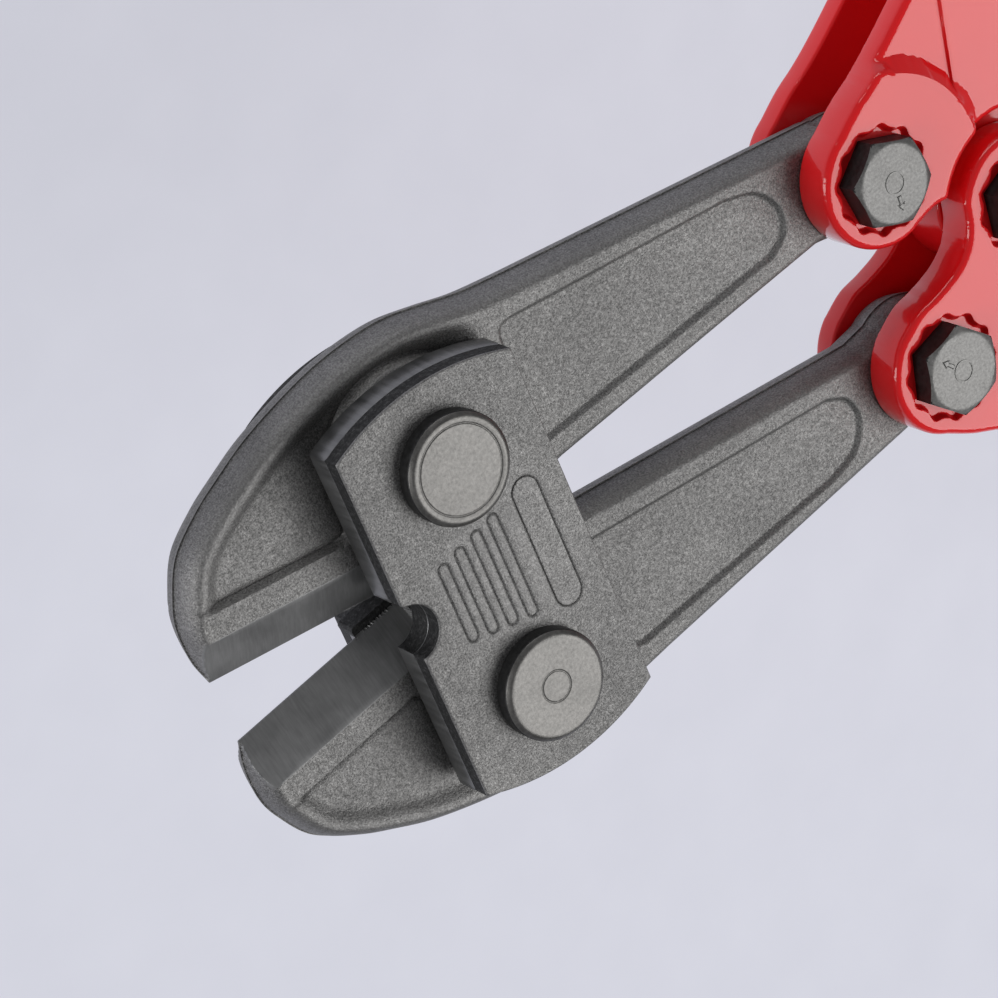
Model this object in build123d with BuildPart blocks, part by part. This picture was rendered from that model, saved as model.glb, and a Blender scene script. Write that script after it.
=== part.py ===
"""Bolt cutters, 760 mm long when shut: two forged blades between two side plates, eccentric tang
bolts, and two tubular handles whose forks cross at a centre joint.

The origin is on the centre joint's axis, on the plane that the tool rests on.  +X runs from the jaws
to the grips, +Y from the lower to the upper handle, +Z up out of the resting plane.  The pose is the
open one, ready for a bar.  The upper half is modelled, and the lower half is its mirror image except
at the centre joint, where the lower fork's two eyes clasp the upper fork's tongue.
"""
from build123d import *
import os
from math import asin, cos, degrees, radians, sin, sqrt

os.makedirs("parts", exist_ok=True)

# ---------------------------------------------------------------- driving dimensions (mm, degrees)
# linkage
pivot_offset = 28.5        # blade pivot to the tool's long axis
tang_reach = 124.2         # blade pivot to tang bolt
tang_rise = 5.35           # slope of that line with the jaws shut
jaw_angle = 7.2            # each blade's opening in this pose
link_length = 42.0         # tang bolt to centre joint
shut_length = 760.0        # jaw tips to grip ends with the tool shut

# levels, each measured up and down from the blades' mid-plane
mid_height = 24.2          # mid-plane above the resting plane, and half the tool's thickness
tang_half = 7.0            # tang
hub_half = 8.0             # blade between the side plates
rim_half = 6.8             # jaw's rim and raised strip
web_half = 4.6             # floor of the jaw's hollow
plate_inner = 8.1
plate_outer = 19.8
cheek_inner = 7.2          # fork cheek, inner face
cheek_outer = 17.4         # fork cheek, outer face at the bosses and eyes
body_outer = 14.0          # fork body, outer face
tongue_half = 7.0          # upper fork's tongue between the lower fork's eyes

# jaws
jaw_reach = 59.5           # pivot to jaw tip
edge_root = 21.0           # pivot to the inner end of the cutting edge
bevel_width = 11.4
strip_width = 6.0          # raised strip behind the bevel
land_radius = 23.0         # flat land round the blade pivot

# side plates
plate_half_width = 23.7
plate_corner = 43.6
plate_crown = 48.8
notch_radius = 6.5
groove_depth = 0.4

# pins and bolts
pin_radius = 9.0
pin_head_radius = 12.65
pin_chamfer = 1.0
bore_clearance = 0.05
eccentricity = 0.9
eccentric_radius = 7.0     # the part of the tang bolt that the blade turns on
journal_radius = 8.3       # the part of the tang bolt that sits in the near cheek
bolt_radius = 6.0          # threaded ends and the centre bolt
hex_across = 19.0
tang_head_top = 21.8
seat_depth = 1.8           # twelve-point seat of the tang bolt's head
seat_clearance = 0.35
washer_radius = 11.5
washer_thickness = 1.8
nut_height = 5.0

# fork
boss_radius = 16.0         # cheek round the tang bolt
slot_radius = 15.8         # room for the tang's end between the cheeks
tang_end_radius = 14.2
eye_radius = 17.0          # lower fork's eyes at the centre joint
recess_radius = 21.6       # hollow in the upper fork round those eyes
tongue_radius = 17.0
tongue_bore = 12.4
bush_radius = 8.0
stop_gap = 0.4             # half the space between the shut forks
fork_length = 150.0        # centre joint to the end of the socket
socket_radius = 17.5
buffer_radius = 5.5
buffer_length = 6.0

# handles
tube_radius = 14.0
tube_wall = 2.0
tube_splay = 3.5           # slope of each tube to the tool's axis with the tool shut
tube_start = (92.0, 33.0)  # a point of the tube's axis, from the centre joint, shut
socket_depth = 46.0
rivet_radius = 3.0
grip_length = 172.0
core_radius = 16.4
grip_half_width = 20.5
grip_half_height = 19.5
flange_half_width = 25.0
flange_thickness = 6.0
cap_length = 16.0
cap_radius = 20.8
window_length = 100.0
window_width = 13.0

# ---------------------------------------------------------------- derived places
tang_angle = tang_rise - jaw_angle
tang_bolt_y = pivot_offset + tang_reach * sin(radians(tang_angle))
tang_bolt_x = -sqrt(link_length**2 - tang_bolt_y**2)
pivot_x = tang_bolt_x - tang_reach * cos(radians(tang_angle))
tang_x = tang_reach * cos(radians(tang_rise))
tang_y = tang_reach * sin(radians(tang_rise))
link_angle_shut = degrees(asin((pivot_offset + tang_y) / link_length))
link_angle = degrees(asin(tang_bolt_y / link_length))
handle_angle = link_angle_shut - link_angle
link_x = -link_length * cos(radians(link_angle_shut))
link_y = link_length * sin(radians(link_angle_shut))
seat_x = link_x + eccentricity
hex_radius = hex_across / sqrt(3)
centre_x_shut = tang_x - link_x
handle_reach = shut_length - jaw_reach - centre_x_shut
tube_length = (handle_reach - tube_start[0]) / cos(radians(tube_splay))
eccentric_shift = (eccentricity, 0)


def blade_plane(height=0.0):
    """Upper blade: origin on its pivot, x along the tool when the jaws are shut."""
    turn = radians(-jaw_angle)
    return Plane(
        origin=(pivot_x, pivot_offset, mid_height + height),
        x_dir=(cos(turn), sin(turn), 0),
        z_dir=(0, 0, 1),
    )


def plate_plane(height=0.0):
    """Side plates: origin midway between the two pivots."""
    return Plane(origin=(pivot_x, 0, mid_height + height), z_dir=(0, 0, 1))


def handle_plane(height=0.0):
    """Upper handle: origin on the centre joint, x along the tool when the handles are shut."""
    turn = radians(handle_angle)
    return Plane(
        origin=(0, 0, mid_height + height),
        x_dir=(cos(turn), sin(turn), 0),
        z_dir=(0, 0, 1),
    )


def tang_bolt_plane(height=0.0):
    """Upper tang bolt: origin on the axis that the blade turns on."""
    handle = handle_plane(height)
    return Plane(
        origin=handle.from_local_coords((link_x, link_y, 0)),
        x_dir=handle.x_dir,
        z_dir=(0, 0, 1),
    )


def tube_plane(distance=0.0):
    """Across the upper handle's tube, z along it and x straight up."""
    handle = handle_plane()
    splay = radians(tube_splay)
    along = handle.x_dir * cos(splay) + handle.y_dir * sin(splay)
    start = handle.from_local_coords((tube_start[0], tube_start[1], 0))
    return Plane(origin=start + along * distance, x_dir=(0, 0, 1), z_dir=along)


def finish(piece, name):
    """Name a finished piece and write it."""
    piece.part.label = name
    export_step(piece.part, f"parts/{name}.step")


def finish_mirrored(piece, name):
    """Write a piece's mirror image across the tool's axis, for the lower half."""
    with BuildPart() as twin:
        mirror(piece.part, about=Plane.XZ)
    finish(twin, name)


# ---------------------------------------------------------------- blades
def blade_outline():
    """Blade's outline: jaw, back, tang, tang end, heel."""
    tip = (-jaw_reach, -pivot_offset)
    nose = (-jaw_reach - 3.2, -11.0)
    back_end = (24.0, 26.0)
    tang_top = (tang_x - 2.0, tang_y + tang_end_radius)
    tang_low = (113.0, 0.0)
    heel_end = (34.0, -17.9)
    heel = (-12.0, -pivot_offset + 1.2)
    root = (-edge_root, -pivot_offset)
    Line(root, tip)
    Spline(tip, (-jaw_reach - 2.8, -21.0), nose)
    Spline(nose, (-57.8, 1.3), (-43.3, 12.9), (-17.5, 25.1), (3.0, 28.6), back_end)
    Line(back_end, tang_top)
    ThreePointArc(tang_top, (tang_x + tang_end_radius, tang_y), (tang_x - 6.0, tang_y - 12.87))
    Line((tang_x - 6.0, tang_y - 12.87), tang_low)
    Line(tang_low, heel_end)
    Spline(heel_end, (12.0, -24.9), heel)
    Line(heel, root)


def hollow_outline():
    """Hollow of the jaw's face, inside the rim and behind the raised strip."""
    floor = -pivot_offset + bevel_width + strip_width
    left = (-54.5, floor)
    top = (-10.0, 19.5)
    Polyline(top, (-10.0, floor), left)
    Spline(left, (-50.4, -3.0), (-38.5, 7.8), (-25.0, 15.3), top)


def tang_panel_outline():
    """Shallow panel sunk in the tang, wide at the side plates and round at the bolt."""
    low_start = (33.0, -10.0)
    top_start = (28.0, 17.6)
    top_end = (88.0, 19.6)
    low_end = (86.0, 1.6)
    Line(low_start, top_start)
    Line(top_start, top_end)
    ThreePointArc(top_end, (97.0, 10.8), low_end)
    Line(low_end, low_start)


def build_blade(tooth):
    """Upper blade, or with its heel tooth the lower blade before mirroring."""
    with BuildPart() as blade:
        with BuildSketch(blade_plane(-hub_half)):
            with BuildLine():
                blade_outline()
            make_face()
        extrude(amount=2 * hub_half)
        # the tang and the jaw are thinner than the hub
        for level in (tang_half, -hub_half):
            with BuildSketch(blade_plane(level)):
                with Locations((95, 8)):
                    Rectangle(130, 60)
            extrude(amount=hub_half - tang_half, mode=Mode.SUBTRACT)
        for level in (rim_half, -hub_half):
            with BuildSketch(blade_plane(level)):
                with Locations((-40, 0)):
                    Rectangle(60, 80)
                Circle(land_radius, mode=Mode.SUBTRACT)
            extrude(amount=hub_half - rim_half, mode=Mode.SUBTRACT)
        # hollow faces of the jaw and sunk panels of the tang
        for level in (web_half, -hub_half):
            with BuildSketch(blade_plane(level)):
                with BuildLine():
                    hollow_outline()
                make_face()
                Circle(land_radius, mode=Mode.SUBTRACT)
            extrude(amount=hub_half - web_half, mode=Mode.SUBTRACT)
        for level in (tang_half - 0.8, -tang_half):
            with BuildSketch(blade_plane(level)):
                with BuildLine():
                    tang_panel_outline()
                make_face()
            extrude(amount=0.8, mode=Mode.SUBTRACT)
        # ground bevels, which meet in the cutting edge at mid-thickness
        across = blade_plane()
        start = across.from_local_coords((-jaw_reach - 8, 0, 0))
        with BuildSketch(Plane(origin=start, x_dir=across.y_dir, z_dir=across.x_dir)):
            for side in (1, -1):
                with BuildLine():
                    edge = (-pivot_offset, 0)
                    reach = bevel_width * hub_half / rim_half
                    Polyline(
                        edge,
                        (-pivot_offset + reach, side * hub_half),
                        (-pivot_offset - 2, side * hub_half),
                        (-pivot_offset - 2, 0),
                        edge,
                    )
                make_face()
        extrude(amount=jaw_reach + 8 - edge_root, mode=Mode.SUBTRACT)
        # bores for the pivot pin and the tang bolt
        with BuildSketch(blade_plane(-hub_half)):
            Circle(pin_radius + bore_clearance)
            with Locations((tang_x, tang_y)):
                Circle(eccentric_radius + bore_clearance)
        extrude(amount=2 * hub_half, mode=Mode.SUBTRACT)
        if tooth:
            with BuildSketch(blade_plane(-tang_half)):
                with BuildLine():
                    Polyline((-20, -26), (-19.5, -30.5), (-17, -32), (-14.5, -32), (-9, -26), (-20, -26))
                make_face()
            extrude(amount=2 * tang_half)
        else:
            with BuildSketch(blade_plane(-hub_half)):
                with Locations((-14.5, -pivot_offset)):
                    Rectangle(14, 9.4)
            extrude(amount=2 * hub_half, mode=Mode.SUBTRACT)
    return blade


upper_blade = build_blade(tooth=False)
finish(upper_blade, "upper_blade")
finish_mirrored(build_blade(tooth=True), "lower_blade")


# ---------------------------------------------------------------- side plates
def plate_outline():
    """Straight sides, domed ends."""
    w = plate_half_width
    c = plate_corner
    Line((-w, -c), (-w, c))
    ThreePointArc((-w, c), (0, plate_crown), (w, c))
    Line((w, c), (w, -c))
    ThreePointArc((w, -c), (0, -plate_crown), (-w, -c))


def build_plate(level, groove_level):
    """Side plate with its jaw notch, two pin holes and plain engraved grooves."""
    with BuildPart() as plate:
        with BuildSketch(plate_plane(level)):
            with BuildLine():
                plate_outline()
            make_face()
            with Locations((-plate_half_width, 0)):
                Circle(notch_radius, mode=Mode.SUBTRACT)
            with Locations((0, pivot_offset), (0, -pivot_offset)):
                Circle(pin_radius + 0.02, mode=Mode.SUBTRACT)
        extrude(amount=plate_outer - plate_inner)
        with BuildSketch(plate_plane(groove_level)):
            for number in range(3):
                with Locations((-11.2 + 5.2 * number, 0)):
                    SlotOverall(20 + 2.2 * number, 2.6, rotation=90)
            with Locations((13.5, 0)):
                SlotOverall(33, 6.8, rotation=90)
        extrude(amount=groove_depth, mode=Mode.SUBTRACT)
    return plate


finish(build_plate(plate_inner, plate_outer - groove_depth), "front_side_plate")
finish(build_plate(-plate_outer, -plate_outer), "rear_side_plate")

# ---------------------------------------------------------------- pivot pins and their rear collars
with BuildPart() as upper_pivot_pin:
    with BuildSketch(Plane(origin=(pivot_x, pivot_offset, 0), z_dir=(0, 0, 1))):
        Circle(pin_radius)
    extrude(amount=mid_height + plate_outer)
    with BuildSketch(Plane(origin=(pivot_x, pivot_offset, mid_height + plate_outer), z_dir=(0, 0, 1))):
        Circle(pin_head_radius)
    extrude(amount=mid_height - plate_outer)
    chamfer(upper_pivot_pin.edges().filter_by(GeomType.CIRCLE).group_by(Axis.Z)[-1], pin_chamfer)
finish(upper_pivot_pin, "upper_pivot_pin")
finish_mirrored(upper_pivot_pin, "lower_pivot_pin")

with BuildPart() as pin_collars:
    with BuildSketch(Plane(origin=(pivot_x, 0, 0), z_dir=(0, 0, 1))):
        with Locations((0, pivot_offset), (0, -pivot_offset)):
            Circle(pin_head_radius)
            Circle(pin_radius + 0.02, mode=Mode.SUBTRACT)
    extrude(amount=mid_height - plate_outer)
finish(pin_collars, "pivot_pin_collars")


# ---------------------------------------------------------------- eccentric tang bolts
with BuildPart() as upper_eccentric_bolt:
    with BuildSketch(tang_bolt_plane(cheek_outer - seat_depth)):
        with Locations(eccentric_shift):
            RegularPolygon(hex_radius, 6)
    extrude(amount=tang_head_top - cheek_outer + seat_depth)
    with BuildSketch(tang_bolt_plane(tang_half)):
        with Locations(eccentric_shift):
            Circle(journal_radius)
    extrude(amount=cheek_outer - seat_depth - tang_half)
    with BuildSketch(tang_bolt_plane(-cheek_inner)):
        Circle(eccentric_radius)
    extrude(amount=cheek_inner + tang_half)
    with BuildSketch(tang_bolt_plane(-mid_height + 0.9)):
        with Locations(eccentric_shift):
            Circle(bolt_radius)
    extrude(amount=mid_height - 0.9 - cheek_inner)
finish(upper_eccentric_bolt, "upper_eccentric_bolt")
finish_mirrored(upper_eccentric_bolt, "lower_eccentric_bolt")

with BuildPart() as upper_eccentric_washer:
    with BuildSketch(tang_bolt_plane(-cheek_outer - washer_thickness)):
        with Locations(eccentric_shift):
            Circle(washer_radius)
            Circle(bolt_radius + 0.15, mode=Mode.SUBTRACT)
    extrude(amount=washer_thickness)
finish(upper_eccentric_washer, "upper_eccentric_washer")
finish_mirrored(upper_eccentric_washer, "lower_eccentric_washer")

with BuildPart() as upper_eccentric_nut:
    with BuildSketch(tang_bolt_plane(-cheek_outer - washer_thickness - nut_height + 0.6)):
        with Locations(eccentric_shift):
            RegularPolygon(hex_radius, 6)
            Circle(bolt_radius + 0.02, mode=Mode.SUBTRACT)
    extrude(amount=nut_height - 0.6)
finish(upper_eccentric_nut, "upper_eccentric_nut")
finish_mirrored(upper_eccentric_nut, "lower_eccentric_nut")


# ---------------------------------------------------------------- centre joint
def centre_plane(height):
    """Centre joint, x along the shut position of the lower handle, which holds the bolt."""
    turn = radians(-handle_angle)
    return Plane(
        origin=(0, 0, mid_height + height),
        x_dir=(cos(turn), sin(turn), 0),
        z_dir=(0, 0, 1),
    )


with BuildPart() as centre_bolt:
    with BuildSketch(centre_plane(cheek_outer - seat_depth)):
        RegularPolygon(hex_radius, 6)
    extrude(amount=tang_head_top - cheek_outer + seat_depth)
    with BuildSketch(centre_plane(-mid_height)):
        Circle(bolt_radius)
    extrude(amount=mid_height + cheek_outer - seat_depth)
finish(centre_bolt, "centre_bolt")

with BuildPart() as centre_bush:
    with BuildSketch(centre_plane(-cheek_inner)):
        Circle(bush_radius)
        Circle(bolt_radius + 0.02, mode=Mode.SUBTRACT)
    extrude(amount=2 * cheek_inner)
finish(centre_bush, "centre_bush")

with BuildPart() as centre_washer:
    with BuildSketch(centre_plane(-cheek_outer - washer_thickness)):
        Circle(washer_radius)
        Circle(bolt_radius + 0.15, mode=Mode.SUBTRACT)
    extrude(amount=washer_thickness)
finish(centre_washer, "centre_washer")

with BuildPart() as centre_nut:
    with BuildSketch(centre_plane(-mid_height)):
        RegularPolygon(hex_radius, 6)
        Circle(bolt_radius + 0.02, mode=Mode.SUBTRACT)
    extrude(amount=mid_height - cheek_outer - washer_thickness)
finish(centre_nut, "centre_nut")


# ---------------------------------------------------------------- handle forks
def fork_body_outline():
    """Fork's flat body from the tang bolt and the centre joint to the socket, handles shut."""
    x = tube_start[0] - 20
    y = tube_start[1] - 20 * sin(radians(tube_splay))
    boss_top = (seat_x, link_y + boss_radius)
    shoulder = (seat_x + 11, link_y + boss_radius - 0.8)
    waist = (seat_x + 25, link_y + 12.6)
    outer_end = (x, y + socket_radius)
    inner_end = (x, y - socket_radius)
    stop_end = (50, stop_gap)
    Line(boss_top, shoulder)
    Spline(shoulder, (seat_x + 17, link_y + 14.4), waist)
    Line(waist, outer_end)
    Line(outer_end, inner_end)
    Spline(inner_end, (62, 6.5), stop_end)
    Polyline(stop_end, (0, stop_gap), (link_x, link_y), boss_top)


def fork_arm_outline():
    """Arm that joins the lower fork's eye to its tang bolt's cheek."""
    Polyline((0, 0), (-16.6, 3.0), (-14.8, 8.5))
    Spline((-14.8, 8.5), (-15.6, 18.0), (-23.5, 28.6))
    Polyline((-23.5, 28.6), (-26.6, 36.0), (link_x, link_y), (0, 0))


def fork_slot_outline():
    """Gap between the cheeks, open along the fork's outer side."""
    Polyline((-60, 10), (62, 12), (84, 24), (84, 80), (-60, 80), (-60, 10))


def build_fork(has_eyes):
    """Upper fork with its tongue, or with eyes the lower fork before mirroring."""
    with BuildPart() as fork:
        with BuildSketch(handle_plane(-cheek_outer)):
            with BuildLine():
                fork_body_outline()
            make_face()
            with Locations((seat_x, link_y)):
                Circle(boss_radius)
            if has_eyes:
                with BuildLine():
                    fork_arm_outline()
                make_face()
            Circle(eye_radius if has_eyes else tongue_radius)
        extrude(amount=2 * cheek_outer)
        # the body is thinner than the bosses and eyes
        for level in (body_outer, -cheek_outer):
            with BuildSketch(handle_plane(level)):
                with Locations((60, 30)):
                    Rectangle(96, 70)
                with Locations((seat_x, link_y)):
                    Circle(boss_radius + 3, mode=Mode.SUBTRACT)
                if has_eyes:
                    Circle(eye_radius + 3, mode=Mode.SUBTRACT)
            extrude(amount=cheek_outer - body_outer, mode=Mode.SUBTRACT)
        # flat body swells into the round socket
        with BuildSketch(tube_plane(-26)):
            Ellipse(body_outer, socket_radius)
        with BuildSketch(tube_plane(4)):
            Circle(socket_radius)
        loft()
        with BuildSketch(tube_plane(4)):
            Circle(socket_radius)
        extrude(amount=fork_length - tube_start[0] - 4)
        # gap between the cheeks, and the tang's own room
        with BuildSketch(handle_plane(-cheek_inner)):
            with BuildLine():
                fork_slot_outline()
            make_face()
            Circle(33, mode=Mode.SUBTRACT)
            with Locations((link_x, link_y)):
                Circle(slot_radius)
            if has_eyes:
                Circle(recess_radius)
        extrude(amount=2 * cheek_inner, mode=Mode.SUBTRACT)
        if not has_eyes:
            for level in (tongue_half, -cheek_outer):
                with BuildSketch(handle_plane(level)):
                    Circle(recess_radius)
                extrude(amount=cheek_outer - tongue_half, mode=Mode.SUBTRACT)
        # bores
        with BuildSketch(handle_plane(-cheek_outer)):
            Circle(bolt_radius + 0.02 if has_eyes else tongue_bore)
        extrude(amount=2 * cheek_outer, mode=Mode.SUBTRACT)
        with BuildSketch(tang_bolt_plane(-cheek_outer)):
            with Locations(eccentric_shift):
                Circle(bolt_radius + 0.15)
        extrude(amount=cheek_outer, mode=Mode.SUBTRACT)
        with BuildSketch(tang_bolt_plane(0)):
            with Locations(eccentric_shift):
                Circle(journal_radius + 0.02)
        extrude(amount=cheek_outer, mode=Mode.SUBTRACT)
        # twelve-point seat of the tang bolt's head, hexagonal seat of the centre bolt's
        with BuildSketch(tang_bolt_plane(cheek_outer - seat_depth)):
            with Locations(eccentric_shift):
                RegularPolygon(hex_radius + seat_clearance, 6)
                RegularPolygon(hex_radius + seat_clearance, 6, rotation=30)
        extrude(amount=seat_depth, mode=Mode.SUBTRACT)
        if has_eyes:
            with BuildSketch(handle_plane(cheek_outer - seat_depth)):
                RegularPolygon(hex_radius + seat_clearance, 6)
            extrude(amount=seat_depth, mode=Mode.SUBTRACT)
        # socket for the tube, holes for its rivets, pocket for the stop buffer
        with BuildSketch(tube_plane(fork_length - tube_start[0] - socket_depth)):
            Circle(tube_radius + 0.05)
        extrude(amount=socket_depth, mode=Mode.SUBTRACT)
        for plane in rivet_planes():
            with BuildSketch(plane):
                Circle(rivet_radius + 0.02)
            extrude(amount=30, both=True, mode=Mode.SUBTRACT)
        with BuildSketch(buffer_plane()):
            Circle(buffer_radius + 0.02)
        extrude(amount=buffer_length, mode=Mode.SUBTRACT)
    return fork


def rivet_planes():
    """One level plane for each of a tube's two rivets, on the tube's axis."""
    socket_end = fork_length - tube_start[0]
    places = (socket_end - 0.72 * socket_depth, socket_end - 0.28 * socket_depth)
    return [Plane(origin=tube_plane(place).origin, z_dir=(0, 0, 1)) for place in places]


def buffer_plane():
    """Outer end of the stop buffer, z into the fork."""
    handle = handle_plane()
    return Plane(origin=handle.from_local_coords((38, stop_gap / 2, 0)), z_dir=handle.y_dir)


finish(build_fork(has_eyes=False), "upper_handle_fork")
finish_mirrored(build_fork(has_eyes=True), "lower_handle_fork")

with BuildPart() as upper_stop_buffer:
    with BuildSketch(buffer_plane()):
        Circle(buffer_radius)
    extrude(amount=buffer_length)
finish(upper_stop_buffer, "upper_stop_buffer")
finish_mirrored(upper_stop_buffer, "lower_stop_buffer")

# ---------------------------------------------------------------- tubes, rivets and grips
tube_end = tube_length - cap_length + 8
tube_begin = fork_length - tube_start[0] - socket_depth
grip_begin = tube_length - grip_length
sleeve_end = tube_length - cap_length

with BuildPart() as upper_handle_tube:
    with BuildSketch(tube_plane(tube_begin)):
        Circle(tube_radius)
        Circle(tube_radius - tube_wall, mode=Mode.SUBTRACT)
    extrude(amount=tube_end - tube_begin)
    for plane in rivet_planes():
        with BuildSketch(plane):
            Circle(rivet_radius + 0.02)
        extrude(amount=30, both=True, mode=Mode.SUBTRACT)
finish(upper_handle_tube, "upper_handle_tube")
finish_mirrored(upper_handle_tube, "lower_handle_tube")

with BuildPart() as upper_tube_rivets:
    for plane in rivet_planes():
        with BuildSketch(plane):
            Circle(rivet_radius)
        extrude(amount=socket_radius + 1.6, both=True)
        for level in (socket_radius, -socket_radius - 1.6):
            with BuildSketch(plane.offset(level)):
                Circle(1.7 * rivet_radius)
            extrude(amount=1.6)
finish(upper_tube_rivets, "upper_tube_rivets")
finish_mirrored(upper_tube_rivets, "lower_tube_rivets")


window_middle = tube_plane((grip_begin + flange_thickness + sleeve_end) / 2)
window_plane = Plane(origin=window_middle.origin, x_dir=window_middle.z_dir, z_dir=(0, 0, 1))

with BuildPart() as upper_grip_core:
    with BuildSketch(window_plane):
        SlotOverall(window_length - 0.4, window_width - 0.4)
    extrude(amount=grip_half_height, both=True)
    with BuildSketch(tube_plane(grip_begin)):
        Circle(core_radius)
    extrude(amount=sleeve_end - grip_begin)
    with BuildSketch(tube_plane(grip_begin)):
        Circle(tube_radius + 0.02)
    extrude(amount=sleeve_end - grip_begin, mode=Mode.SUBTRACT)
finish(upper_grip_core, "upper_grip_core")
finish_mirrored(upper_grip_core, "lower_grip_core")

with BuildPart() as upper_grip_sleeve:
    with BuildSketch(tube_plane(grip_begin)):
        Ellipse(mid_height, flange_half_width)
    extrude(amount=flange_thickness)
    with BuildSketch(tube_plane(grip_begin)):
        Ellipse(grip_half_height, grip_half_width)
    extrude(amount=sleeve_end - grip_begin)
    with BuildSketch(tube_plane(grip_begin)):
        Circle(core_radius + 0.02)
    extrude(amount=sleeve_end - grip_begin, mode=Mode.SUBTRACT)
    with BuildSketch(window_plane):
        SlotOverall(window_length, window_width)
    extrude(amount=mid_height, both=True, mode=Mode.SUBTRACT)
finish(upper_grip_sleeve, "upper_grip_sleeve")
finish_mirrored(upper_grip_sleeve, "lower_grip_sleeve")

with BuildPart() as upper_end_cap:
    with BuildSketch(tube_plane(sleeve_end)):
        Circle(cap_radius)
    extrude(amount=cap_length)
    with BuildSketch(tube_plane(sleeve_end)):
        Circle(tube_radius + 0.02)
    extrude(amount=8, mode=Mode.SUBTRACT)
finish(upper_end_cap, "upper_end_cap")
finish_mirrored(upper_end_cap, "lower_end_cap")
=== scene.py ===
# Looks of the bolt cutters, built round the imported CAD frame.
#
# Lengths are in millimetres inside the script and turn into metres as each mesh is made.  Each forging
# is a closed shell over a flat outline: its height comes from a function of the place and of the
# distance to the outline, so rounded edges, draft, rims, panels and seats are all geometry.
from math import asin, atan2, cos, degrees, pi, radians, sin, sqrt, tan

import bmesh
import bpy
import numpy as np
from mathutils import Euler, Matrix, Vector
from mathutils.geometry import delaunay_2d_cdt


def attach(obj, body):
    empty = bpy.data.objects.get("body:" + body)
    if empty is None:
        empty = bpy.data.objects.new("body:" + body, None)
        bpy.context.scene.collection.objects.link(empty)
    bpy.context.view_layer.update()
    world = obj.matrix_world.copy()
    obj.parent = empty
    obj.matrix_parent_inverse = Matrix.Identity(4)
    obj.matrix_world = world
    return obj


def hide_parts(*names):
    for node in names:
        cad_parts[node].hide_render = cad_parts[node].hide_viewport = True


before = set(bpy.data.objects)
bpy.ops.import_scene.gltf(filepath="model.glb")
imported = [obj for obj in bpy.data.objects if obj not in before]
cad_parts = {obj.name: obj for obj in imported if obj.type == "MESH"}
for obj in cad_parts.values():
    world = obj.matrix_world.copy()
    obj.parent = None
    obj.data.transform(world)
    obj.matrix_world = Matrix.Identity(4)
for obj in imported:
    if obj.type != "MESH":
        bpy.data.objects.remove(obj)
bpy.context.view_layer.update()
MM = 0.001

# ---- sizes shared with the CAD model
PIVOT_OFFSET = 28.5
TANG_REACH = 124.2
TANG_RISE = 5.35
JAW_ANGLE = 7.2
LINK = 42.0
MID = 24.2
TANG_HALF = 7.0
HUB_HALF = 8.0
RIM_HALF = 6.8
WEB_HALF = 4.6
PLATE_INNER = 8.1
PLATE_OUTER = 19.8
CHEEK_INNER = 7.2
CHEEK_OUTER = 17.4
FAR_OUTER = 13.8
BODY_OUTER = 14.0
JAW_REACH = 59.5
EDGE_ROOT = 21.0
EDGE_GAP = 0.15
TOOTH = 2.1
BEVEL = 11.4
STRIP = 6.0
ECCENTRICITY = 0.9
HEX_ACROSS = 19.0
NUT_ACROSS = 17.0
NUT_HEIGHT = 4.6
WASHER = 1.4
HEAD_TOP = 21.8
SEAT_DEPTH = 1.8
BOSS_R = 16.0
EYE_R = 17.0
RECESS_R = 21.6
TUBE_START = (92.0, 33.0)
TUBE_SPLAY = 3.5
FORK_LENGTH = 150.0
SOCKET_R = 17.5
TUBE_R = 14.0
SHUT_LENGTH = 760.0
GRIP_LENGTH = 172.0
CAP_LENGTH = 16.0
PIN_R = 9.0
CAM_R = 7.0
JOURNAL_R = 8.3
THREAD_R = 5.95
SEAT_R = 12.2
CORE_EYE_R = 17.0
PLATE_HALF = 23.7
PLATE_NOTCH_R = 6.5

tang_turn = radians(TANG_RISE - JAW_ANGLE)
bolt_y = PIVOT_OFFSET + TANG_REACH * sin(tang_turn)
bolt_x = -sqrt(LINK**2 - bolt_y**2)
pivot_x = bolt_x - TANG_REACH * cos(tang_turn)
tang_x = TANG_REACH * cos(radians(TANG_RISE))
tang_y = TANG_REACH * sin(radians(TANG_RISE))
shut_turn = asin((PIVOT_OFFSET + tang_y) / LINK)
handle_turn = degrees(shut_turn - asin(bolt_y / LINK))
link_x = -LINK * cos(shut_turn)
link_y = LINK * sin(shut_turn)
seat_x = link_x + ECCENTRICITY
reach = SHUT_LENGTH - JAW_REACH - (tang_x - link_x)
tube_length = (reach - TUBE_START[0]) / cos(radians(TUBE_SPLAY))
edge_y = EDGE_GAP - PIVOT_OFFSET
strip_y = BEVEL + STRIP - PIVOT_OFFSET
tooth_x = -EDGE_ROOT - 4.0
neck_x = TUBE_START[0] - 20
neck_y = TUBE_START[1] - 20 * sin(radians(TUBE_SPLAY))

UPPER = 1
LOWER = -1


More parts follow.
